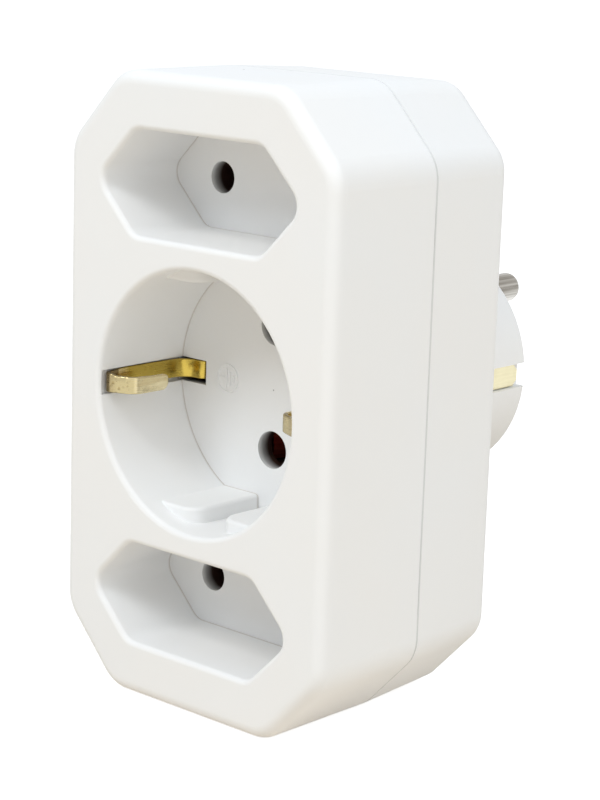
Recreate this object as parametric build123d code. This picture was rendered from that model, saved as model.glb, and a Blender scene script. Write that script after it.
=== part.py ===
from build123d import *
import os

# Plug-in socket adapter: one round earthed recess between two flat hexagonal ones,
# and a round earthed plug on the back.
# Millimetres. +Z is up, +Y runs from the sockets to the plug's pins, +X is right
# when the sockets face you. The origin is the middle of the plug's end face.
# "Depth" below is counted from the front face towards the plug.

# Housing, with the draft of its rear half in degrees
body_width = 53.4
body_height = 94.4
corner_cut_x = 10.4
corner_cut_z = 11.0
corner_round = 6.3
inner_corner_min = 1.0
front_edge_round = 2.0
rear_edge_round = 2.5
rear_draft = 2.7
parting_behind_plate = 0.7
parting_chamfer = 0.2
shell_wall = 2.0
front_wall = 2.4
lip_height = 1.5
lip_clearance = 0.1

# Round pins of the plug, and of any plug that goes into the round recess
pin_spacing = 19.0
pin_length = 19.0
pin_radius = 2.4
pin_tip_round = 1.4
pin_end_gap = 0.2

# Round recess and its guide lugs
recess_radius = 19.5
recess_depth = 17.7
recess_wall = 1.6
recess_hole_radius = 2.9
mouth_round = 0.85
lug_height = 2.6
lug_half_gap = 2.5
lug_setback = 3.75
lug_corner_round = 3.0
lug_edge_round = 0.6

# Flat recesses
recess_gap = 0.65
flat_tip_half = 20.25
flat_half_width = 12.6
flat_half_height = 7.75
flat_tip_round = 2.8
flat_corner_round = 3.0
flat_depth = 15.4
flat_wall = 1.5
flat_hole_radius = 2.4

# Contact carrier behind the recesses
plate_thickness = 3.0
carrier_clearance = 0.3
chamber_height = 4.0
chamber_wall = 1.0
chamber_clearance = 0.4

# Plug
plug_radius = 18.05
plug_length = 17.2
plug_lug_clearance = 0.7
plug_slot_wall = 1.7
plug_end_wall = 3.0
plug_edge_round = 0.8
pin_root_radius = 2.0
pin_clearance = 0.05
pin_boss_wall = 2.1
pin_neck_radius = 1.5
pin_head_radius = 2.2
pin_head_height = 0.6

# Live metal: rails joined to spring contacts
rail_thickness = 0.8
rail_width = 4.6
rail_end_margin = 3.0
rail_corner_round = 1.0
rail_seat_height = 0.9
rail_seat_length = 4.0
rail_seat_setback = 5.5
rail_arm_width = 6.6
rail_arm_reach = 3.6
rail_step_gap = 0.4
rail_step_length = 2.4
rail_bend = 0.8
contact_thickness = 0.7
contact_width = 5.0
contact_front_gap = 0.8
contact_bend = 0.7
contact_taper_length = 4.2
contact_flare_length = 2.1
contact_flare = 0.8
round_contact_half = 3.4
round_contact_grip = 2.2
flat_contact_half = 3.0
flat_contact_grip = 1.8
rivet_radius = 1.2
rivet_head_radius = 1.8
rivet_head_height = 0.4
rivet_clearance = 0.05

# Earth metal: spring clips in the round recess, strap along the plug
clip_width = 3.0
clip_thickness = 0.7
clip_wall_gap = 0.05
clip_foot_length = 5.2
clip_front_setback = 1.0
clip_nose_inset = 4.0
clip_nose_setback = 3.3
clip_tip_inset = 4.2
clip_tip_setback = 9.9
clip_leg_start = 4.2
clip_leg_drop = 0.7
clip_bend = 0.9
clip_foot_bend = 2.9
clip_nose_bend = 0.6
clip_notch_depth = 0.8
clip_slot_clearance = 0.4
strap_thickness = 0.8
strap_width = 3.4
strap_clearance = 0.2
strap_recess = 0.85
strap_end_gap = 1.4
strap_bend = 1.6
strap_corner_cut = 0.9
earth_rivet_half = 8.6
earth_rivet_radius = 1.0
earth_head_radius = 1.8
earth_head_height = 0.6
earth_pad_half = 2.6
earth_pad_round = 0.9

# Screws from the back, and the posts that they go through
screw_z = 19.3
screw_radius = 1.45
screw_length = 16.0
screw_head_radius = 2.75
screw_head_height = 2.2
screw_head_round = 0.7
screw_point = 0.7
screw_thread_clearance = 0.05
screw_hole_clearance = 0.15
screw_head_clearance = 0.25
screw_head_sink = 8.0
screw_slot_width = 0.8
screw_slot_depth = 1.1
screw_slot_half = 1.7
front_post_radius = 3.3
rear_post_radius = 4.2
post_clearance = 0.3

# Wall between the two poles
pole_rib_half = 0.8
pole_rib_clearance = 1.0

# How far joined solids run into each other, how far cutters run past a face,
# and how near an edge must be to be picked for rounding
overlap = 0.5
beyond = 1.0
near = 0.15

# Places that follow from the sizes above
hole_offset = pin_spacing / 2
plate_back = recess_depth + plate_thickness
parting_depth = plate_back + parting_behind_plate
flat_metal = rivet_head_height + contact_thickness + rail_thickness
rail_back = flat_depth + pin_length + pin_end_gap + flat_metal
rail_front = rail_back - rail_thickness
rear_inner = rail_back + rail_seat_height
body_depth = rear_inner + shell_wall
plug_end = body_depth + plug_length
front_y = -plug_end
arm_back = recess_depth + pin_length + pin_end_gap + pin_head_height + contact_thickness + rail_thickness
arm_front = arm_back - rail_thickness
contact_tip = plate_back + contact_front_gap
flat_spacing = recess_radius + recess_wall + recess_gap + flat_wall + flat_half_height
lug_flat = recess_radius - lug_height
plug_flat = lug_flat - plug_lug_clearance
strap_outer_half = plug_radius - strap_recess
strap_inner_half = strap_outer_half - strap_thickness
strap_front = plate_back + clip_thickness
strap_slot_half = strap_width / 2 + strap_clearance
plug_hollow_radius = strap_inner_half - strap_clearance - plug_slot_wall
clip_slot_half = clip_width / 2 + clip_slot_clearance
clip_slot_outer = recess_radius + clip_notch_depth
clip_window_edge = recess_radius - clip_foot_length
screw_x = body_width / 2 - shell_wall - post_clearance - rear_post_radius
head_seat = body_depth - screw_head_sink


def slab(profile, start, end):
    # a section drawn in X and Z, carried from one depth to another
    plane = Plane.XZ.offset(-(front_y + start))
    return extrude(plane * profile, amount=-(end - start))


def drafted(start, end, inset):
    # the housing's outline, drawn in towards the back as it leaves the mould
    plane = Plane.XZ.offset(-(front_y + start))
    return extrude(plane * body_outline(inset), amount=-(end - start), taper=rear_draft)


def block(x_limits, depths, z_limits):
    x0, x1 = sorted(x_limits)
    z0, z1 = sorted(z_limits)
    profile = Pos((x0 + x1) / 2, (z0 + z1) / 2) * Rectangle(x1 - x0, z1 - z0)
    return slab(profile, *depths)


def disc(place, radius, start, end):
    return slab(Pos(*place) * Circle(radius), start, end)


def bent_strip(points, radius, thickness, width):
    # sheet metal strip: its centre line in X and depth, its width along Z
    line = FilletPolyline(*[(x, front_y + depth) for x, depth in points], radius=radius)
    return extrude(trace(line, line_width=thickness), amount=width / 2, both=True)


def front_edges(shape):
    return shape.faces().sort_by(Axis.Y)[0].edges()


def rear_edges(shape):
    return shape.faces().sort_by(Axis.Y)[-1].edges()


def mirror_x(shape):
    return mirror(shape, about=Plane.YZ)


def half_turn(shape):
    return Rot(0, 180, 0) * shape


def screw_places():
    return [(side * screw_x, end * screw_z) for side in (-1, 1) for end in (-1, 1)]


def round_hole_places():
    return [(0, end * hole_offset) for end in (-1, 1)]


def flat_hole_places():
    return [(side * hole_offset, end * flat_spacing) for side in (-1, 1) for end in (-1, 1)]


def body_outline(inset=0.0):
    # rectangle with cut, rounded corners
    half_w = body_width / 2
    half_h = body_height / 2
    corner = [(half_w, half_h - corner_cut_z), (half_w - corner_cut_x, half_h)]
    right = [(x, -z) for x, z in reversed(corner)] + corner
    left = [(-x, -z) for x, z in right]
    outline = make_face(Polyline(*right, *left, close=True))
    if inset:
        outline = offset(outline, amount=-inset, kind=Kind.INTERSECTION)
    return fillet(outline.vertices(), max(corner_round - inset, inner_corner_min))


def flat_outline(grow=0.0):
    # long hexagon with rounded tips
    top = [(flat_half_width, flat_half_height), (-flat_half_width, flat_half_height)]
    bottom = [(-x, -z) for x, z in top]
    points = [(flat_tip_half, 0), *top, (-flat_tip_half, 0), *bottom]
    outline = make_face(Polyline(*points, close=True))
    if grow:
        outline = offset(outline, amount=grow, kind=Kind.INTERSECTION)
    tips = outline.vertices().filter_by(lambda v: abs(v.Y) < flat_half_height / 2)
    outline = fillet(tips, flat_tip_round + grow)
    edge_height = flat_half_height + grow
    corners = outline.vertices().filter_by(lambda v: abs(abs(v.Y) - edge_height) < near)
    return fillet(corners, flat_corner_round + grow)


def guide_lugs():
    # lugs at the top and bottom of the round recess, each pair with a gap between
    reach = recess_radius + overlap
    corner = Pos(lug_half_gap + reach / 2, lug_flat + reach / 2) * Rectangle(reach, reach)
    lug = slab(Circle(reach) & corner, lug_setback, recess_depth)
    gap_side = lug.edges().filter_by(Axis.Z).sort_by(Axis.X)[:2]
    lug = fillet(gap_side.sort_by(Axis.Y)[0], lug_corner_round)
    rounded_to = front_y + lug_setback + lug_corner_round
    nose = lug.faces().sort_by(Axis.Z)[0].edges().filter_by(lambda e: e.center().Y < rounded_to)
    inner_nose = nose.filter_by(lambda e: e.center().X < recess_radius / 2)
    lug = fillet(inner_nose, lug_edge_round)
    upper = [lug, mirror_x(lug)]
    return upper + [mirror(piece, about=Plane.XY) for piece in upper]


def cut_recesses(shell):
    shell -= disc((0, 0), recess_radius, 0, recess_depth)
    for end in (-1, 1):
        shell -= slab(Pos(0, end * flat_spacing) * flat_outline(), 0, flat_depth)
    mouths = [wire.edges() for wire in shell.faces().sort_by(Axis.Y)[0].inner_wires()]
    shell = fillet([edge for mouth in mouths for edge in mouth], mouth_round)
    for lug in guide_lugs():
        shell += lug
    for side in (-1, 1):
        x_limits = (side * (recess_radius - beyond), side * clip_slot_outer)
        depths = (clip_front_setback - clip_slot_clearance, recess_depth)
        shell -= block(x_limits, depths, (-clip_slot_half, clip_slot_half))
    return shell


def make_front_shell():
    shell = slab(body_outline(), 0, parting_depth)
    shell = fillet(front_edges(shell), front_edge_round)
    shell = chamfer(rear_edges(shell), parting_chamfer)
    shell -= slab(body_outline(shell_wall), front_wall, parting_depth)
    shell -= slab(body_outline(shell_wall / 2), parting_depth - lip_height - lip_clearance, parting_depth)
    shell += disc((0, 0), recess_radius + recess_wall, front_wall - overlap, recess_depth)
    for end in (-1, 1):
        outline = Pos(0, end * flat_spacing) * flat_outline(flat_wall)
        shell += slab(outline, front_wall - overlap, flat_depth)
    for place in screw_places():
        shell += disc(place, front_post_radius, front_wall - overlap, plate_back)
        hole_start = head_seat - screw_length - beyond
        shell -= disc(place, screw_radius + screw_thread_clearance, hole_start, plate_back)
    return cut_recesses(shell)


def chamber(place, half_x):
    # open box behind a hole, which keeps the spring contact in line with it
    inner_x = half_x + chamber_clearance
    inner_z = contact_width / 2 + chamber_clearance
    outer = Rectangle(2 * (inner_x + chamber_wall), 2 * (inner_z + chamber_wall))
    profile = Pos(*place) * (outer - Rectangle(2 * inner_x, 2 * inner_z))
    return slab(profile, plate_back, plate_back + chamber_height)


def make_contact_carrier():
    outline = body_outline(shell_wall + carrier_clearance)
    for place in screw_places():
        outline -= Pos(*place) * Circle(front_post_radius + post_clearance)
    carrier = slab(outline, recess_depth, plate_back)
    for end in (-1, 1):
        carrier += slab(Pos(0, end * flat_spacing) * flat_outline(flat_wall), flat_depth, recess_depth)
    for place in round_hole_places():
        carrier += chamber(place, round_contact_half)
        carrier -= disc(place, recess_hole_radius, recess_depth, plate_back)
    for place in flat_hole_places():
        carrier += chamber(place, flat_contact_half)
        carrier -= disc(place, flat_hole_radius, flat_depth, plate_back)
    for side in (-1, 1):
        rivet_place = (side * earth_rivet_half, 0)
        pocket_start = plate_back - earth_head_height - rivet_clearance
        carrier -= disc(rivet_place, earth_head_radius + post_clearance, pocket_start, plate_back)
        window = (side * clip_window_edge, side * clip_slot_outer)
        carrier -= block(window, (recess_depth, plate_back), (-clip_slot_half, clip_slot_half))
    return carrier


def plug_body():
    # round body with flats at top and bottom that pass the guide lugs
    profile = Circle(plug_radius) & Rectangle(4 * plug_radius, 2 * plug_flat)
    plug = slab(profile, rear_inner, plug_end)
    return fillet(rear_edges(plug), plug_edge_round)


def cut_plug(shell):
    # hollow inside, bosses that hold the pins, and a slot each side for the strap
    shell -= disc((0, 0), plug_hollow_radius, rear_inner, plug_end - plug_end_wall)
    pin_hole = pin_root_radius + pin_clearance
    for place in round_hole_places():
        shell += disc(place, pin_hole + pin_boss_wall, arm_back, plug_end - plug_end_wall + overlap)
        shell -= disc(place, pin_hole, arm_back, plug_end)
    slot_z = (-strap_slot_half, strap_slot_half)
    slot_floor = strap_inner_half - strap_clearance
    for side in (-1, 1):
        window = (side * slot_floor, side * (strap_outer_half + strap_clearance))
        shell -= block(window, (rear_inner, body_depth), slot_z)
        shell -= block((side * slot_floor, side * (plug_radius + beyond)), (body_depth, plug_end), slot_z)
    return shell


def pole_ribs():
    # walls above and below the round contacts that keep the two rails apart
    chamber_end = hole_offset + contact_width / 2 + chamber_clearance + chamber_wall
    rib_start = chamber_end + pole_rib_clearance
    rib_end = body_height / 2 - shell_wall + overlap
    x_limits = (-pole_rib_half, pole_rib_half)
    depths = (parting_depth + pole_rib_clearance, rear_inner + overlap)
    return [block(x_limits, depths, (end * rib_start, end * rib_end)) for end in (-1, 1)]


def rail_seats():
    seat_z = flat_spacing - rail_seat_setback
    seats = []
    for side in (-1, 1):
        for end in (-1, 1):
            x_limits = (side * hole_offset - rail_width / 2, side * hole_offset + rail_width / 2)
            z_limits = (end * seat_z - rail_seat_length / 2, end * seat_z + rail_seat_length / 2)
            seats.append(block(x_limits, (rail_back, rear_inner + overlap), z_limits))
    return seats


def make_rear_shell():
    shell = drafted(parting_depth, body_depth, 0.0)
    shell = fillet(rear_edges(shell), rear_edge_round)
    shell = chamfer(front_edges(shell), parting_chamfer)
    shell -= drafted(parting_depth, rear_inner, shell_wall)
    lip = body_outline(shell_wall / 2 + lip_clearance) - body_outline(shell_wall)
    shell += slab(lip, parting_depth - lip_height, parting_depth + overlap)
    shell = cut_plug(shell + plug_body())
    for piece in pole_ribs() + rail_seats():
        shell += piece
    for place in screw_places():
        shell += disc(place, rear_post_radius, plate_back, rear_inner + overlap)
        shell -= disc(place, screw_radius + screw_hole_clearance, plate_back, body_depth)
        shell -= disc(place, screw_head_radius + screw_head_clearance, head_seat, body_depth)
    return shell


def make_line_pin():
    # shoulder on the plug's end face, root through the plug, inner end riveted over contact and rail
    place = (0, hole_offset)
    pin = disc(place, pin_radius, plug_end, plug_end + pin_length)
    pin = fillet(rear_edges(pin), pin_tip_round)
    pin += disc(place, pin_root_radius, arm_back, plug_end)
    head_back = arm_front - contact_thickness
    pin += disc(place, pin_neck_radius, head_back, arm_back)
    return pin + disc(place, pin_head_radius, head_back - pin_head_height, head_back)


def make_line_rail():
    # long strip behind the right-hand holes, with a stepped arm to the pin
    x_limits = (hole_offset - rail_width / 2, hole_offset + rail_width / 2)
    rail_end = flat_spacing + rail_end_margin
    rail = block(x_limits, (rail_front, rail_back), (-rail_end, rail_end))
    rail = fillet(rail.edges().filter_by(Axis.Y), rail_corner_round)
    strip_middle = (rail_front + rail_back) / 2
    arm_middle = (arm_front + arm_back) / 2
    step_start = hole_offset - rail_width / 2 - rail_step_gap
    step_end = step_start - rail_step_length
    points = [(hole_offset, strip_middle), (step_start, strip_middle), (step_end, arm_middle),
              (-rail_arm_reach, arm_middle)]
    rail += Pos(0, 0, hole_offset) * bent_strip(points, rail_bend, rail_thickness, rail_arm_width)
    rail -= disc((0, hole_offset), pin_neck_radius + rivet_clearance, arm_front - beyond, arm_back + beyond)
    for end in (-1, 1):
        rail -= disc((hole_offset, end * flat_spacing), rivet_radius + rivet_clearance, rail_front, rail_back)
    return rail


def make_contact(place, half, grip, base_back, hole_radius):
    # U-shaped spring: flat base, and two leaves that close in and then flare
    base = base_back - contact_thickness / 2
    side_x = half - contact_thickness / 2
    grip_x = grip + contact_thickness / 2
    grip_depth = contact_tip + contact_flare_length
    leaf = [(side_x, base), (side_x, grip_depth + contact_taper_length), (grip_x, grip_depth),
            (grip_x + contact_flare, contact_tip)]
    points = [(-x, depth) for x, depth in reversed(leaf)] + leaf
    contact = bent_strip(points, contact_bend, contact_thickness, contact_width)
    contact = Pos(place[0], 0, place[1]) * contact
    return contact - disc(place, hole_radius + rivet_clearance, base_back - beyond, base_back + beyond)


def make_rivet(place, radius, head_radius, head_height, start, end):
    rivet = disc(place, radius, start, end)
    rivet += disc(place, head_radius, start - head_height, start)
    return rivet + disc(place, head_radius, end, end + head_height)


def make_contact_rivets():
    start = rail_front - contact_thickness
    sizes = (rivet_radius, rivet_head_radius, rivet_head_height, start, rail_back)
    return Compound(children=[make_rivet(place, *sizes) for place in flat_hole_places()])


def earth_pad(side, start, thickness):
    middle = side * earth_rivet_half
    x_limits = (middle - earth_pad_half, middle + earth_pad_half)
    pad = block(x_limits, (start, start + thickness), (-earth_pad_half, earth_pad_half))
    return fillet(pad.edges().filter_by(Axis.Y), earth_pad_round)


def earth_hole(side, start, end):
    place = (side * earth_rivet_half, 0)
    return disc(place, earth_rivet_radius + rivet_clearance, start - beyond, end + beyond)


def make_right_clip():
    # tail on the strap, foot through the floor, long leg up the wall, then a bent-back spring leg
    half = clip_thickness / 2
    tail = plate_back + half
    riser = clip_window_edge + clip_bend
    foot = recess_depth + half
    wall = recess_radius - clip_wall_gap - half
    nose = recess_radius - clip_nose_inset - half
    tip = recess_radius - clip_tip_inset - half
    points = [(earth_rivet_half, tail), (riser, tail), (riser, foot), (wall, foot),
              (wall, clip_front_setback + half), (nose, clip_nose_setback), (tip, clip_tip_setback)]
    radii = [clip_bend, clip_bend, clip_foot_bend, clip_nose_bend, clip_nose_bend]
    clip = bent_strip(points, radii, clip_thickness, clip_width)
    leg_x = (tip - beyond, tip + beyond)
    leg_z = (clip_width / 2 - clip_leg_drop, clip_width)
    clip -= block(leg_x, (clip_leg_start, clip_tip_setback + beyond), leg_z)
    tip_y = front_y + clip_tip_setback
    at_tip = clip.edges().filter_by(lambda e: abs(e.center().Y - tip_y) < near)
    across = at_tip.filter_by(lambda e: e.bounding_box().size.Z < near and e.length < 2 * clip_thickness)
    clip = fillet(across, clip_leg_drop)
    clip += earth_pad(1, plate_back, clip_thickness)
    return clip - earth_hole(1, plate_back, strap_front)


def make_strap():
    # U-shaped strap: cross bar behind the clips' tails, arms back along the plug
    half = strap_thickness / 2
    arm_end = plug_end - strap_end_gap
    right = [(strap_inner_half + half, strap_front + half), (strap_inner_half + half, arm_end)]
    points = [(-x, depth) for x, depth in reversed(right)] + right
    strap = bent_strip(points, strap_bend, strap_thickness, strap_width)
    end_y = front_y + arm_end
    ends = strap.edges().filter_by(Axis.X).filter_by(lambda e: abs(e.center().Y - end_y) < near)
    strap = chamfer(ends, strap_corner_cut)
    for side in (-1, 1):
        strap += earth_pad(side, strap_front, strap_thickness)
        strap -= earth_hole(side, strap_front, strap_front + strap_thickness)
    return strap


def make_earth_rivets():
    back = strap_front + strap_thickness
    sizes = (earth_rivet_radius, earth_head_radius, earth_head_height, plate_back, back)
    return Compound(children=[make_rivet((side * earth_rivet_half, 0), *sizes) for side in (-1, 1)])


def make_screw(place):
    head_back = head_seat + screw_head_height
    screw = disc(place, screw_radius, head_seat - screw_length, head_seat)
    screw = chamfer(front_edges(screw), screw_point)
    head = disc(place, screw_head_radius, head_seat, head_back)
    screw += fillet(rear_edges(head), screw_head_round)
    across = Rectangle(2 * screw_slot_half, screw_slot_width)
    cross = Pos(*place) * (across + Rot(0, 0, 90) * across)
    return screw - slab(cross, head_back - screw_slot_depth, head_back)


def make_parts():
    line_pin = make_line_pin()
    line_rail = make_line_rail()
    right_clip = make_right_clip()
    line_contact = make_contact((0, hole_offset), round_contact_half, round_contact_grip, arm_front,
                                pin_neck_radius)
    parts = {
        "front_shell": make_front_shell(),
        "rear_shell": make_rear_shell(),
        "contact_carrier": make_contact_carrier(),
        "line_pin": line_pin,
        "neutral_pin": half_turn(line_pin),
        "line_rail": line_rail,
        "neutral_rail": half_turn(line_rail),
        "line_contact": line_contact,
        "neutral_contact": half_turn(line_contact),
        "right_earth_clip": right_clip,
        "left_earth_clip": mirror_x(right_clip),
        "earth_strap": make_strap(),
        "earth_rivets": make_earth_rivets(),
        "contact_rivets": make_contact_rivets(),
        "housing_screws": Compound(children=[make_screw(place) for place in screw_places()]),
    }
    names = ("lower_left_contact", "upper_left_contact", "lower_right_contact", "upper_right_contact")
    for name, place in zip(names, flat_hole_places()):
        parts[name] = make_contact(place, flat_contact_half, flat_contact_grip, rail_front, rivet_radius)
    return parts


os.makedirs("parts", exist_ok=True)
for node, shape in make_parts().items():
    export_step(shape, f"parts/{node}.step")
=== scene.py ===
import math

import bmesh
import bpy
from mathutils import Matrix, Vector


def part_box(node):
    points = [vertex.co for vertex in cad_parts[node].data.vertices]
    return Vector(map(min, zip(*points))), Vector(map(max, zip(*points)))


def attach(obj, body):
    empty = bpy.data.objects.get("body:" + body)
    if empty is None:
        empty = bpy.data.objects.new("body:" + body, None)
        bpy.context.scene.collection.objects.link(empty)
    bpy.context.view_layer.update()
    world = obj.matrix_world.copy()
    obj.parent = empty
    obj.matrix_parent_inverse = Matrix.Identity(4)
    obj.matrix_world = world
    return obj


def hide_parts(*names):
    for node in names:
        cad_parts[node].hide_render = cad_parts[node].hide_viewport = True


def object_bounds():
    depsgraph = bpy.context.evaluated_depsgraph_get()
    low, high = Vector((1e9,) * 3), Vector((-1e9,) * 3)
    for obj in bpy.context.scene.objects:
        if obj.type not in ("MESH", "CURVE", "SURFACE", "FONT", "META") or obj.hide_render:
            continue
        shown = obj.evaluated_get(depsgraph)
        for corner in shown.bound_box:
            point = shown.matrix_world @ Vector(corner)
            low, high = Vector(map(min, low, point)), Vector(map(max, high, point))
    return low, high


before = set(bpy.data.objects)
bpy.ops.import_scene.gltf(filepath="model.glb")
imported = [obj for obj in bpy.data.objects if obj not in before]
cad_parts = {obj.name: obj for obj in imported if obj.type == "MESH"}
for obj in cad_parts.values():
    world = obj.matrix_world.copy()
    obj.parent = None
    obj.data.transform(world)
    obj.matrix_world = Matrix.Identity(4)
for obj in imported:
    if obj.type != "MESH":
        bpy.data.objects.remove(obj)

mm = 0.001
perMm = 1.0 / mm
cadBox = [list(corner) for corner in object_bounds()]
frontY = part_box("front_shell")[0].y                       # front face of the housing
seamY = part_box("front_shell")[1].y                        # where the two shells meet
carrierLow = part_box("contact_carrier")[0]                 # its face is the floor of the recesses
roundExtra = 2.3 * mm                                     # the round recess is deeper than the flat ones
roundFloorY = carrierLow.y + roundExtra
print("frame loaded")


class Wire:                                               # a shader socket that sums and products can use
    def __init__(self, board, socket):
        self.board = board
        self.socket = socket

    def join(self, other, operation, mirrored=False):
        pair = {0: other, 1: self} if mirrored else {0: self, 1: other}
        kinds = [wire.socket.type for wire in pair.values() if isinstance(wire, Wire)]
        if "RGBA" in kinds:
            sockets = {"Factor_Float": 1.0, "A_Color": pair[0], "B_Color": pair[1]}
            settings = {"data_type": "RGBA", "blend_type": operation}
            return self.board.add("ShaderNodeMix", settings, sockets, "Result_Color")
        if "VECTOR" in kinds:
            return self.board.add("ShaderNodeVectorMath", {"operation": operation}, pair)
        return self.board.add("ShaderNodeMath", {"operation": operation}, pair)

    def __add__(self, other):
        return self.join(other, "ADD")

    def __radd__(self, other):
        return self.join(other, "ADD", True)

    def __sub__(self, other):
        return self.join(other, "SUBTRACT")

    def __rsub__(self, other):
        return self.join(other, "SUBTRACT", True)

    def __mul__(self, other):
        return self.join(other, "MULTIPLY")

    def __rmul__(self, other):
        return self.join(other, "MULTIPLY", True)

    def __lt__(self, other):
        return self.join(other, "LESS_THAN")

    def __gt__(self, other):
        return self.join(other, "GREATER_THAN")

    def __abs__(self):
        return self.join(0.0, "ABSOLUTE")


class Board:                                              # the nodes of one material or world
    def __init__(self, name, library="materials"):
        self.owner = getattr(bpy.data, library).new(name)
        self.owner.use_nodes = True
        self.tree = self.owner.node_tree
        self.tree.nodes.clear()

    def add(self, kind, settings, sockets, output=0):
        node = self.tree.nodes.new(kind)
        for key, value in settings.items():
            if key == "stops":
                self.setStops(node.color_ramp, value)
            else:
                setattr(node, key, value)
        for key, value in sockets.items():
            self.feed(self.find(node.inputs, key), value)
        return Wire(self, self.find(node.outputs, output)) if node.outputs else None

    def find(self, sockets, key):
        if isinstance(key, int):
            return sockets[key]
        return next(socket for socket in sockets if key in (socket.identifier, socket.name))

    def feed(self, socket, value):
        if isinstance(value, Wire):
            self.tree.links.new(value.socket, socket)
        elif socket.type == "RGBA":
            socket.default_value = (*value, 1.0) if isinstance(value, tuple) else (value, value, value, 1.0)
        elif socket.type == "VECTOR" and not isinstance(value, tuple):
            socket.default_value = (value, value, value)
        else:
            socket.default_value = value

    def setStops(self, ramp, stops):
        while len(ramp.elements) < len(stops):
            ramp.elements.new(0.5)
        for element, (place, value) in zip(ramp.elements, stops):
            element.position = place
            element.color = (value, value, value, 1.0)

    def where(self):                                      # place on the object, in metres
        return self.add("ShaderNodeTexCoord", {}, {}, "Object")

    def axes(self, place, names):
        return [self.add("ShaderNodeSeparateXYZ", {}, {"Vector": place}, name) for name in names]

    def noise(self, place, scale, detail=2.0):
        sockets = {"Vector": place, "Scale": scale, "Detail": detail}
        return self.add("ShaderNodeTexNoise", {}, sockets, "Fac")

    def cells(self, place, scale, output):
        return self.add("ShaderNodeTexVoronoi", {}, {"Vector": place, "Scale": scale}, output)

    def ramp(self, value, stops):
        return self.add("ShaderNodeValToRGB", {"stops": stops}, {"Fac": value}, "Color")

    def longRamp(self, value, span, stops):               # stops in the value's own unit, up to the span
        return self.ramp(value * (1.0 / span), [(place / span, level) for place, level in stops])

    def mixColour(self, factor, first, second):
        sockets = {"Factor_Float": factor, "A_Color": first, "B_Color": second}
        return self.add("ShaderNodeMix", {"data_type": "RGBA"}, sockets, "Result_Color")

    def bump(self, height, distance, strength=1.0):
        sockets = {"Height": height, "Distance": distance, "Strength": strength}
        return self.add("ShaderNodeBump", {}, sockets, "Normal")

    def surface(self, **sockets):
        named = {key.replace("_", " "): value for key, value in sockets.items()}
        shader = self.add("ShaderNodeBsdfPrincipled", {}, named, "BSDF")
        self.add("ShaderNodeOutputMaterial", {}, {"Surface": shader})
        return self.owner


plasticLook = {
    "cool": (0.892, 0.898, 0.9), "warm": (0.898, 0.894, 0.884),         # the two ends of the white
    "cloudScale": 45.0, "cloudFade": ((0.3, 0.0), (0.7, 1.0)),          # slow change of tone
    "grainScale": 2600.0, "grainDetail": 3.0, "grainHeight": 0.004 * mm,    # spark-eroded mould surface
    "flowScale": 70.0, "flowDetail": 1.0, "flowHeight": 0.05 * mm,      # slight waves of the moulding
    "roughness": 0.55, "cloudRoughness": 0.1, "grainRoughness": 0.08, "gloss": 0.35, "ior": 1.5,
    "speckScale": 170.0, "speckRadius": 0.034, "speckShare": 0.965, "speckTone": 0.42,
    "partingShadeWidth": 0.2 * mm, "partingShade": 0.8,                       # painted shade on the line where the two shells meet
    "insideShade": (0.035, 0.015, 0.01),                               # painted shade on closed-in surfaces and down the holes
}
recessLook = {                                            # limits of the recesses, and the painted shade at their floors and in their holes
    "halfWidth": 20.8 * mm, "halfHeight": 39.5 * mm, "flatStart": 21.5 * mm,
    "seamShadeColour": (0.68, 0.645, 0.61), "seamShadeWidth": 0.42 * mm,          # painted shade in the gap round the floors
    "seamShadeFade": ((0.25, 1.0), (1.0, 0.0)),                              # in shares of its width
    # painted shade down the holes in the floors, over this depth below the floor
    "holeShadeDepth": 3.0 * mm, "holeShadeFade": ((0.1, 0.0), (0.32, 0.5), (0.75, 1.0)),
}
rearInside = {                                            # limits of the rear shell's hollow, where shade is painted
    "halfWidth": 25.2 * mm, "halfHeight": 45.7 * mm, "depth": 37.45 * mm,
    "cornerWay": (0.7266, 0.687), "cornerReach": 42.8 * mm,             # out through the chamfered corners
}


def mouldedBase(board, look):
    place = board.where()
    cloud = board.noise(place, look["cloudScale"])
    grain = board.noise(place, look["grainScale"], look["grainDetail"])
    flow = board.noise(place, look["flowScale"], look["flowDetail"])
    colour = board.mixColour(board.ramp(cloud, look["cloudFade"]), look["cool"], look["warm"])
    nearest = board.cells(place, look["speckScale"], "Distance")
    pick = board.cells(place, look["speckScale"], "Color")
    chance = board.add("ShaderNodeSeparateColor", {}, {"Color": pick}, "Red")
    speck = (nearest < look["speckRadius"]) * (chance > look["speckShare"])
    tone = 1.0 - speck * (1.0 - look["speckTone"])
    roughness = (look["roughness"] + (cloud - 0.5) * look["cloudRoughness"]
                 + (grain - 0.5) * look["grainRoughness"])
    height = grain * look["grainHeight"] + flow * look["flowHeight"]
    return place, colour * tone, roughness, board.bump(height * perMm, mm)


def finishPlastic(board, look, colour, roughness, normal):
    return board.surface(Base_Color=colour, Roughness=roughness, Normal=normal,
                         IOR=look["ior"], Specular_IOR_Level=look["gloss"])


def floorDepth(recess, z):                                # depth of the recess floor nearest to this place
    inFlat = abs(z) > recess["flatStart"]
    return carrierLow.y * inFlat + roundFloorY * (1.0 - inFlat)


def partingShade(look, y):                                 # painted shade in the gap between the shells
    return 1.0 - (abs(y - seamY) < look["partingShadeWidth"]) * (1.0 - look["partingShade"])


def frontPlastic(look, recess):
    board = Board("frontPlastic")
    place, colour, roughness, normal = mouldedBase(board, look)
    x, y, z = board.axes(place, "XYZ")
    inRecess = (abs(x) < recess["halfWidth"]) * (abs(z) < recess["halfHeight"])
    # painted shade on the recess walls just in front of the floors
    fromFloor = abs(y - floorDepth(recess, z)) * (1.0 / recess["seamShadeWidth"])
    seamShade = board.ramp(fromFloor, recess["seamShadeFade"]) * inRecess
    colour = board.mixColour(seamShade, colour, recess["seamShadeColour"]) * partingShade(look, y)
    return finishPlastic(board, look, colour, roughness, normal)


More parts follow.
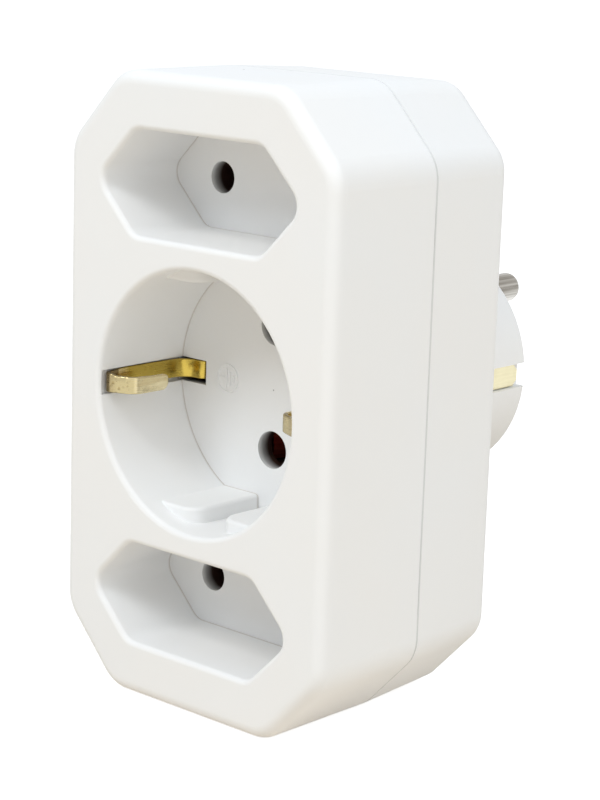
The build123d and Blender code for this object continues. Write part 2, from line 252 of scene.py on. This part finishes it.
def carrierPlastic(look, recess):
    board = Board("carrierPlastic")
    place, colour, roughness, normal = mouldedBase(board, look)
    y, z = board.axes(place, "YZ")
    # painted shade down the holes, darker the deeper below the floor
    holeShade = board.ramp((y - floorDepth(recess, z)) * (1.0 / recess["holeShadeDepth"]), recess["holeShadeFade"])
    colour = board.mixColour(holeShade, colour, look["insideShade"])
    return finishPlastic(board, look, colour, roughness, normal)


def rearPlastic(look, hollow):
    board = Board("rearPlastic")
    place, colour, roughness, normal = mouldedBase(board, look)
    x, y, z = board.axes(place, "XYZ")
    corner = abs(x) * hollow["cornerWay"][0] + abs(z) * hollow["cornerWay"][1]
    # painted shade over the inside of the rear shell's hollow
    shadedInside = ((abs(x) < hollow["halfWidth"]) * (abs(z) < hollow["halfHeight"])
              * (corner < hollow["cornerReach"]) * (y < frontY + hollow["depth"]))
    colour = board.mixColour(shadedInside, colour, look["insideShade"]) * partingShade(look, y)
    return finishPlastic(board, look, colour, roughness, normal)


metalBasis = {                                            # what the metals share, unless one says otherwise
    "lineScale": 5200.0, "lineRoughness": 0.16, "lineHeight": 0.006 * mm, "lineStrength": 0.8,
    "tarnishScale": 260.0, "tarnishDetail": 4.0, "tarnishShare": 0.6, "tarnishRoughness": 0.12,
    "fade": ((0.36, 0.0), (0.64, 1.0)),
}
metalLooks = {                                            # stretch: the way the drawn or rolled lines run
    # the pin's bright and dull streaks along its length are its drawn lines and also painted reflection
    # bands
    "pinNickel": {"bright": (0.58, 0.56, 0.52), "dull": (0.24, 0.22, 0.19), "roughness": 0.2,
                  "stretch": (1.0, 0.02, 1.0), "lineScale": 1500.0, "tarnishShare": 0.12},
    "strapBrass": {"bright": (0.73, 0.67, 0.46), "dull": (0.63, 0.57, 0.37), "roughness": 0.34,
                   "stretch": (0.03, 0.03, 1.0)},
    "sheetBrass": {"bright": (0.78, 0.62, 0.3), "dull": (0.58, 0.43, 0.18), "roughness": 0.34,
                   "stretch": (1.0, 1.0, 0.03)},
    "springBronze": {"bright": (0.45, 0.12, 0.08), "dull": (0.26, 0.06, 0.04), "roughness": 0.36,
                     "stretch": (0.03, 0.03, 1.0)},
    "zincSteel": {"bright": (0.62, 0.62, 0.63), "dull": (0.4, 0.4, 0.42), "roughness": 0.32,
                  "stretch": (1.0, 0.03, 1.0)},
}


def wornMetal(board, place, look):                        # colour and roughness, and the lines they follow
    lines = board.noise(place * look["stretch"], look["lineScale"])
    tarnish = board.noise(place, look["tarnishScale"], look["tarnishDetail"])
    share = look["tarnishShare"]
    clean = board.ramp(tarnish * share + lines * (1.0 - share), look["fade"])
    colour = board.mixColour(clean, look["dull"], look["bright"])
    roughness = (look["roughness"] + (lines - 0.5) * look["lineRoughness"]
                 + (tarnish - 0.5) * look["tarnishRoughness"])
    return colour, roughness, lines


def metal(name, look):
    board = Board(name)
    colour, roughness, lines = wornMetal(board, board.where(), look)
    normal = board.bump(lines, look["lineHeight"], look["lineStrength"])
    return board.surface(Base_Color=colour, Metallic=1.0, Roughness=roughness, Normal=normal)


nodeFinish = {
    "front_shell": "frontPlastic", "rear_shell": "rearPlastic", "contact_carrier": "carrierPlastic",
    "line_pin": "pinNickel", "neutral_pin": "pinNickel",
    "line_rail": "sheetBrass", "neutral_rail": "sheetBrass",
    "line_contact": "springBronze", "neutral_contact": "springBronze",
    "upper_left_contact": "springBronze", "upper_right_contact": "springBronze",
    "lower_left_contact": "springBronze", "lower_right_contact": "springBronze",
    "right_earth_clip": "sheetBrass", "left_earth_clip": "sheetBrass", "earth_strap": "strapBrass",
    "earth_rivets": "sheetBrass", "contact_rivets": "sheetBrass", "housing_screws": "zincSteel",
}


def dressNodes():
    finishes = {name: metal(name, {**metalBasis, **look}) for name, look in metalLooks.items()}
    finishes["frontPlastic"] = frontPlastic(plasticLook, recessLook)
    finishes["rearPlastic"] = rearPlastic(plasticLook, rearInside)
    finishes["carrierPlastic"] = carrierPlastic(plasticLook, recessLook)
    for node, finish in nodeFinish.items():
        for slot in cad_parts[node].material_slots:
            slot.material = finishes[finish]
    return finishes


def linkPiece(name, mesh, finish):
    bmesh.ops.recalc_face_normals(mesh, faces=mesh.faces)
    data = bpy.data.meshes.new(name)
    mesh.to_mesh(data)
    mesh.free()
    data.materials.append(finish)
    piece = bpy.data.objects.new(name, data)
    bpy.context.scene.collection.objects.link(piece)
    return piece


clipLook = {                                              # in mm: reach from the axis, depth from the front
    "path": [(6.0, 21.05), (15.2, 21.05), (15.2, 18.05), (19.1, 18.05),
             (19.85, 1.3), (15.15, 3.3), (14.95, 9.9)],
    "bends": [0.9, 0.9, 2.9, 0.9, 2.2], "bendSteps": 12, "gap": 0.12,
    "low": -1.5, "high": 1.75, "thickness": 0.68, "edge": 0.2, "edgePlaces": 4,
    "padEnd": 5.2, "padHalf": 2.6,                                      # wider tail under the rivet
    # rows: distance past the fold, and what the strip loses there at its upper or lower edge
    "topDrops": [(-5.0, 0.0), (0.0, 0.3), (1.3, 0.6), (4.5, 0.65), (8.0, 0.8)],
    "lowRises": [(-11.0, 0.35), (-5.0, 0.0)],
    "tipRound": 1.1, "tipTop": 0.5,                                     # the upper corner is less round
}


def bentPath(points, bends, steps):                       # places along a line with rounded corners
    points = [Vector(point) for point in points]
    places = [points[0]]
    for before, corner, after, radius in zip(points, points[1:], points[2:], bends):
        come, leave = (corner - before).normalized(), (after - corner).normalized()
        turn = come.angle(leave)
        start = corner - come * radius * math.tan(turn / 2.0)
        side = (leave - come * come.dot(leave)).normalized()
        middle = start + side * radius
        for k in range(steps + 1):
            angle = turn * k / steps
            places.append(middle - side * radius * math.cos(angle) + come * radius * math.sin(angle))
    return places + [points[-1]]


def densePath(places, gap):                               # straight runs get places between their ends
    dense = []
    for start, end in zip(places, places[1:]):
        count = max(1, int((end - start).length / gap))
        dense += [start.lerp(end, k / count) for k in range(count)]
    return dense + [places[-1]]


def readTable(rows, place):                               # value between the rows, with soft steps
    for (start, first), (end, second) in zip(rows, rows[1:]):
        if place < end:
            share = max(0.0, (place - start) / (end - start))
            return first + (second - first) * share * share * (3.0 - 2.0 * share)
    return rows[-1][1]


def clipEdges(look, fromTail, pastFold, toTip):           # height of the strip's lower and upper edge
    if fromTail < look["padEnd"]:
        return -look["padHalf"], look["padHalf"]
    low = look["low"] + readTable(look["lowRises"], pastFold)
    high = look["high"] - readTable(look["topDrops"], pastFold)
    tip = look["tipRound"]
    if toTip < tip:
        cut = tip - math.sqrt(max(0.0, tip ** 2 - (tip - toTip) ** 2))
        low, high = low + cut, high - cut * look["tipTop"]
    return low, high


def clipSection(look, low, high):                         # rounded outline across the strip
    edge = min(look["edge"], (high - low) / 2.0)
    aside = look["thickness"] / 2.0 - edge
    corners = [(aside, high - edge), (-aside, high - edge), (-aside, low + edge), (aside, low + edge)]
    outline = []
    for quarter, (sideways, upright) in enumerate(corners):
        for k in range(look["edgePlaces"]):
            angle = math.radians(90.0 * (quarter + k / (look["edgePlaces"] - 1)))
            outline.append((sideways + edge * math.cos(angle), upright + edge * math.sin(angle)))
    return outline


def makeClip(name, node, side, look, finish):
    places = densePath(bentPath(look["path"], look["bends"], look["bendSteps"]), look["gap"])
    lengths = [0.0]
    for start, end in zip(places, places[1:]):
        lengths.append(lengths[-1] + (end - start).length)
    fold = min(range(len(places)), key=lambda k: places[k].y)   # where the strip turns back at its front
    mesh = bmesh.new()
    rings = []
    for k, place in enumerate(places):
        ahead, behind = places[min(k + 1, len(places) - 1)], places[max(k - 1, 0)]
        along = (ahead - behind).normalized()
        across = Vector((-along.y, along.x))
        low, high = clipEdges(look, lengths[k], lengths[k] - lengths[fold], lengths[-1] - lengths[k])
        ring = []
        for sideways, z in clipSection(look, low, high):
            spot = place + across * sideways
            ring.append(mesh.verts.new((side * spot.x * mm, frontY + spot.y * mm, z * mm)))
        rings.append(ring)
    for ring, following in zip(rings, rings[1:]):
        for k in range(len(ring)):
            j = (k + 1) % len(ring)
            mesh.faces.new((ring[k], ring[j], following[j], following[k]))
    mesh.faces.new(rings[0])
    mesh.faces.new(list(reversed(rings[-1])))
    for face in mesh.faces:
        face.smooth = True
    piece = linkPiece(name, mesh, finish)
    piece.modifiers.new("evenNormals", "WEIGHTED_NORMAL")
    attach(piece, "root")
    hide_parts(node)


clipBrassLook = {                                         # rows: reach or depth in mm, and a share
    "bright": (0.92, 0.82, 0.54), "dull": (0.74, 0.61, 0.34), "roughness": 0.27,
    "stretch": (0.03, 0.03, 1.0), "tarnishScale": 420.0, "tarnishShare": 0.55,
    "fade": ((0.36, 0.0), (0.62, 1.0)),
    "farLegShade": (0.5, 0.36, 0.07), "footDepth": 12.0,                       # painted shade on the far leg and the foot, deep in the recess
    "legDepth": ((3.0, 0.0), (6.2, 1.0)), "legReach": ((15.8, 0.0), (16.6, 1.0)),
    "head": (0.42, 0.345, 0.18), "headShare": 0.92, "headDepth": 4.0,   # painted shade on the front end
    "headReach": ((14.7, 0.0), (15.3, 1.0)),
    # painted shadow of the wall's notch on the head's outer end
    "notchShadow": (0.27, 0.2, 0.1), "notchShadowReach": ((17.4, 0.0), (19.4, 1.0)),
    "hollow": (0.3, 0.22, 0.09), "punchScale": 1500.0, "punchDepth": 0.09,    # marks in the left head, with painted shade in their hollows
    "punchReach": 17.2, "punchFade": ((1.0, 1.0), (1.6, 0.0)),
    "hollowShadeFade": ((0.1, 0.8), (0.4, 0.0)), "rimFade": ((0.15, 0.0), (0.5, 1.0)),
    "depthSpan": 10.0, "reachSpan": 20.0, "punchSpan": 2.0,
}


def clipBrass(look):
    board = Board("clipBrass")
    place = board.where()
    x, y = board.axes(place, "XY")
    reach, depth = abs(x) * perMm, (y - frontY) * perMm
    colour, roughness, lines = wornMetal(board, place, look)
    leg = (board.longRamp(depth, look["depthSpan"], look["legDepth"])
           * board.longRamp(reach, look["reachSpan"], look["legReach"]))
    foot = depth > look["footDepth"]
    # painted shade over the far leg and the foot
    colour = board.mixColour(1.0 - (1.0 - leg) * (1.0 - foot), colour, look["farLegShade"])
    # painted shade on the strip's head
    head = (depth < look["headDepth"]) * board.longRamp(reach, look["reachSpan"], look["headReach"])
    colour = board.mixColour(head * look["headShare"], colour, look["head"])
    # painted shadow of the wall's notch on the head's outer end
    inNotchShadow = board.longRamp(reach, look["reachSpan"], look["notchShadowReach"])
    colour = board.mixColour(head * inNotchShadow, colour, look["notchShadow"])
    punches = board.cells(place, look["punchScale"], "Distance")
    aside = abs(reach - look["punchReach"])
    marked = head * (x < 0.0) * board.longRamp(aside, look["punchSpan"], look["punchFade"])
    # painted shade in the punch hollows
    colour = board.mixColour(marked * board.ramp(punches, look["hollowShadeFade"]), colour, look["hollow"])
    relief = board.ramp(punches, look["rimFade"]) * marked * look["punchDepth"]
    normal = board.bump(relief + lines * (look["lineHeight"] * perMm), mm)
    return board.surface(Base_Color=colour, Metallic=1.0, Roughness=roughness, Normal=normal)


markLook = {
    "middle": (-9.64 * mm, 0.0), "radius": 2.3 * mm, "ringWidth": 0.32 * mm, "steps": 72,
    "height": 0.2 * mm, "sunk": 0.02 * mm, "soft": 0.05 * mm,
    "bars": [(0.0, 3.0 * mm), (0.75 * mm, 2.0 * mm), (1.5 * mm, 1.0 * mm)],    # each aside, and its length
    "barWidth": 0.32 * mm, "stem": 1.7 * mm, "shift": 0.2 * mm,
}


def addSlab(mesh, across, upright, low, high, inset):     # low block with sloping sides
    left, right = across
    bottom, top = upright
    corners = [(left, bottom), (right, bottom), (right, top), (left, top)]
    count = len(corners)
    middle = sum((Vector(corner) for corner in corners), Vector((0.0, 0.0))) / count
    foot = [mesh.verts.new((x, low, z)) for x, z in corners]
    face = []
    for corner in corners:
        offset = Vector(corner) - middle
        shrunk = middle + offset * max(0.0, 1.0 - inset / offset.length)
        face.append(mesh.verts.new((shrunk.x, high, shrunk.y)))
    for k in range(count):
        j = (k + 1) % count
        mesh.faces.new((foot[k], foot[j], face[j], face[k]))
    mesh.faces.new(face)
    mesh.faces.new(list(reversed(foot)))


def makeEarthMark(look, finish):
    mesh = bmesh.new()
    middleX, middleZ = look["middle"]
    low, high = roundFloorY + look["sunk"], roundFloorY - look["height"]
    outer, inner, soft = look["radius"], look["radius"] - look["ringWidth"], look["soft"]
    angles = [2.0 * math.pi * k / look["steps"] for k in range(look["steps"])]
    rings = []
    for radius, y in ((outer, low), (outer - soft, high), (inner + soft, high), (inner, low)):
        spots = [(middleX + radius * math.cos(a), y, middleZ + radius * math.sin(a)) for a in angles]
        rings.append([mesh.verts.new(spot) for spot in spots])
    for ring, following in zip(rings, rings[1:] + rings[:1]):
        for k in range(len(ring)):
            j = (k + 1) % len(ring)
            mesh.faces.new((ring[k], ring[j], following[j], following[k]))
    half = look["barWidth"] / 2.0
    for aside, length in look["bars"]:
        x = middleX + aside - look["shift"]
        upright = (middleZ - length / 2.0, middleZ + length / 2.0)
        addSlab(mesh, (x - half, x + half), upright, low, high, soft)
    x = middleX - look["shift"]
    addSlab(mesh, (x - look["stem"], x - half), (middleZ - half, middleZ + half), low, high, soft)
    piece = linkPiece("earth_mark", mesh, finish)
    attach(piece, "root")


def outward(azimuth, elevation):                          # unit vector, azimuth from the front toward +X
    level = math.cos(elevation)
    return Vector((math.sin(azimuth) * level, -math.cos(azimuth) * level, math.sin(elevation)))


cameraLook = {
    "focalPixels": 2234.35, "imageHeight": 800, "sensor": 36.0, "near": 10.0 * mm, "far": 50.0,
    "azimuth": 42.032, "elevation": 12.665, "roll": 1.872, "distance": 335.757 * mm,
    "aim": (0.0, frontY + 18.0 * mm, 0.0), "aside": 3.733 * mm, "above": -1.735 * mm,
}


def makeCamera(look):
    azimuth, elevation, roll = (math.radians(look[key]) for key in ("azimuth", "elevation", "roll"))
    back = outward(azimuth, elevation)
    level = Vector((math.cos(azimuth), math.sin(azimuth), 0.0))
    upright = back.cross(level)
    right = level * math.cos(roll) + upright * math.sin(roll)
    up = upright * math.cos(roll) - level * math.sin(roll)
    place = Vector(look["aim"]) + back * look["distance"] + right * look["aside"] + up * look["above"]
    data = bpy.data.cameras.new("camera")
    data.sensor_width = look["sensor"]
    data.lens = look["focalPixels"] / look["imageHeight"] * look["sensor"]
    data.clip_start = look["near"]
    data.clip_end = look["far"]
    camera = bpy.data.objects.new("camera", data)
    camera.matrix_world = Matrix.Translation(place) @ Matrix((right, up, back)).transposed().to_4x4()
    bpy.context.scene.collection.objects.link(camera)
    bpy.context.scene.camera = camera


lightLooks = {                                            # azimuth and elevation in degrees
    "keyLight": {"azimuth": -13.0, "elevation": 48.0, "distance": 0.9, "size": 0.36, "power": 3.6},
    "sideLight": {"azimuth": 80.0, "elevation": 20.0, "distance": 1.0, "size": 1.4, "power": 4.2},
    "highSideLight": {"azimuth": 80.0, "elevation": 50.0, "distance": 1.0, "size": 1.0, "power": 2.3},
}
stageLook = {
    "lampColour": (0.94, 0.972, 1.0),                                   # cool, against the warm floor
    "lampAim": (0.0, frontY + 20.0 * mm, 0.0),
    "floorColour": (0.74, 0.64, 0.51), "seenColour": (0.66, 0.66, 0.66),    # warm paper, seen as white
    "fibreScale": 40.0, "fibreDetail": 4.0, "fibreShare": 0.02,
    "floorSize": 30.0, "glow": 0.8,
    "skyColour": (0.9, 0.95, 1.0), "worldLight": 0.5,
    "white": (1.0, 1.0, 1.0),
}


def makeLights(looks, stage):
    aim = Vector(stage["lampAim"])
    for name, look in looks.items():
        way = outward(math.radians(look["azimuth"]), math.radians(look["elevation"]))
        data = bpy.data.lights.new(name, "AREA")
        data.shape = "SQUARE"
        data.size = look["size"]
        data.energy = look["power"]
        data.color = stage["lampColour"]
        lamp = bpy.data.objects.new(name, data)
        turn = way.to_track_quat("Z", "Y").to_matrix().to_4x4()
        lamp.matrix_world = Matrix.Translation(aim + way * look["distance"]) @ turn
        bpy.context.scene.collection.objects.link(lamp)


def seenDirectly(board):                                  # 1 for what the camera, gloss and glass see
    camera, glossy, glass = [board.add("ShaderNodeLightPath", {}, {}, "Is " + kind + " Ray")
                             for kind in ("Camera", "Glossy", "Transmission")]
    return camera + glossy + glass


def makeFloor(look):
    board = Board("floorPaper")
    rays = seenDirectly(board)
    fibre = board.noise(board.where(), look["fibreScale"], look["fibreDetail"])
    colour = board.mixColour(rays, look["floorColour"], look["seenColour"])
    colour = board.mixColour(fibre * look["fibreShare"], colour, look["white"])
    paper = board.add("ShaderNodeBsdfDiffuse", {}, {"Color": colour}, "BSDF")
    glow = board.add("ShaderNodeEmission", {}, {"Color": 1.0, "Strength": rays * look["glow"]}, "Emission")
    both = board.add("ShaderNodeAddShader", {}, {0: paper, 1: glow}, "Shader")
    board.add("ShaderNodeOutputMaterial", {}, {"Surface": both})
    half = look["floorSize"] / 2.0
    corners = [(-half, -half), (half, -half), (half, half), (-half, half)]
    data = bpy.data.meshes.new("floor")
    data.from_pydata([(x, y, cadBox[0][2]) for x, y in corners], [], [(0, 1, 2, 3)])
    data.materials.append(board.owner)
    floor = bpy.data.objects.new("floor", data)
    bpy.context.scene.collection.objects.link(floor)


def makeSky(look):
    board = Board("studio", "worlds")
    rays = seenDirectly(board)
    colour = board.mixColour(rays, look["skyColour"], look["white"])
    strength = look["worldLight"] + rays * (1.0 - look["worldLight"])
    light = board.add("ShaderNodeBackground", {}, {"Color": colour, "Strength": strength}, "Background")
    board.add("ShaderNodeOutputWorld", {}, {"Surface": light})
    bpy.context.scene.world = board.owner


makeCamera(cameraLook)
print("camera placed")
finishes = dressNodes()
print("CAD nodes dressed")
clipFinish = clipBrass({**metalBasis, **clipBrassLook})
makeClip("left_clip_spring", "left_earth_clip", -1, clipLook, clipFinish)
makeClip("right_clip_spring", "right_earth_clip", 1, clipLook, clipFinish)
print("earth clips bent")
makeEarthMark(markLook, finishes["carrierPlastic"])
print("relief mark made")
makeLights(lightLooks, stageLook)
makeFloor(stageLook)
makeSky(stageLook)
bpy.context.scene.view_settings.view_transform = "Standard"
print("studio ready")
